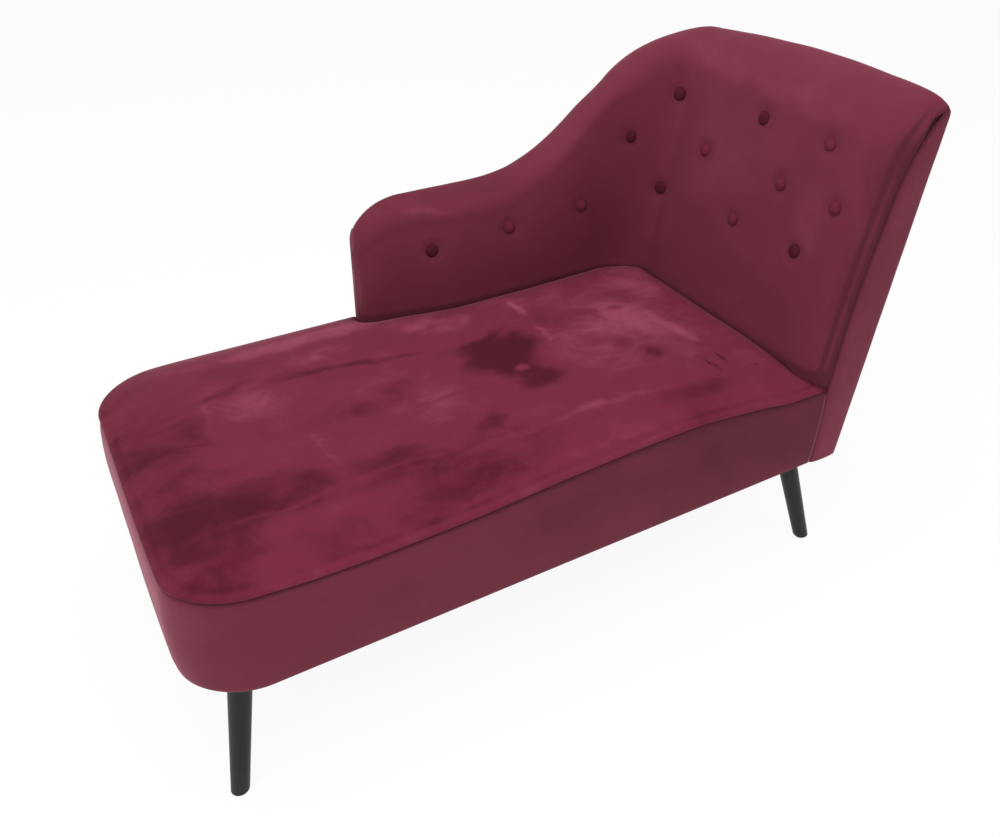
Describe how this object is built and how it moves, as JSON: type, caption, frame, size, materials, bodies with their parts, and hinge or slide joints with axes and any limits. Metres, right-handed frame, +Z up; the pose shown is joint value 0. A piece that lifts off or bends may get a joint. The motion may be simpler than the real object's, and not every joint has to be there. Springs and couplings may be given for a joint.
{
  "type": "chaise longue",
  "caption": "Compact buttoned chaise longue with a raked back, one low arm sweeping up to it, a piped crowned seat and splayed tapered legs.",
  "frame": {"origin": "on the floor, under the middle of the whole chaise", "axes": "+X towards the head end with the raked back, +Y towards the arm side, +Z up"},
  "size_m": [1.2722, 0.646, 0.8538],
  "materials": {
    "velvet": "cut velvet, dark wine red, soft nap with darker and lighter brushed patches",
    "welt": "cut velvet over a piping cord",
    "buttons": "velvet drawn over a domed button",
    "foam": "open-cell upholstery foam",
    "wadding": "thin needled wadding",
    "webbing": "woven jute strap",
    "hessian": "plain woven jute cloth",
    "lining": "thin black non-woven lining",
    "twine": "waxed linen twine",
    "toggles": "moulded, matt",
    "glides": "moulded, matt black",
    "steel": "zinc plated",
    "legs": "turned hardwood, stained near black, satin lacquer",
    "board": "thin plywood, unfinished",
    "timber": "sawn beech, unfinished"
  },
  "bodies": {
    "root": {"arm_board": "board", "arm_buttons": "buttons", "arm_foam": "foam", "arm_front_post": "timber", "arm_rear_post": "timber", "arm_top_rail": "timber", "arm_wadding": "wadding", "back_buttons": "buttons", "back_crest_rail": "timber", "back_foam": "foam", "back_front_post": "timber", "back_hessian": "hessian", "back_inner_post": "timber", "back_seat_rail": "timber", "back_side_panel": "velvet", "back_wadding": "wadding", "back_webbing": "webbing", "button_toggles": "toggles", "button_twines": "twine", "corner_block_front": "timber", "corner_block_rear": "timber", "corner_former": "board", "cross_rail_1": "timber", "cross_rail_2": "timber", "cross_rail_3": "timber", "dust_cover": "lining", "foot_rail": "timber", "front_rail": "timber", "head_cleat": "timber", "head_rail": "timber", "inner_cover": "velvet", "leg_block_foot_front": "timber", "leg_block_foot_rear": "timber", "leg_block_head_front": "timber", "leg_block_head_rear": "timber", "leg_bolts": "steel", "leg_foot_front": "legs", "leg_foot_rear": "legs", "leg_glides": "glides", "leg_head_front": "legs", "leg_head_rear": "legs", "leg_plates": "steel", "outer_arm_cover": "velvet", "outer_back_cover": "velvet", "plate_screws": "steel", "rail_screws": "steel", "rear_cleat": "timber", "rear_rail": "timber", "seat_cover": "velvet", "seat_foam": "foam", "seat_hessian": "hessian", "seat_webbing_cross": "webbing", "seat_webbing_long": "webbing", "seat_welt": "welt", "skirt_cover": "velvet", "skirt_wadding": "wadding"}
  },
  "joints": []
}
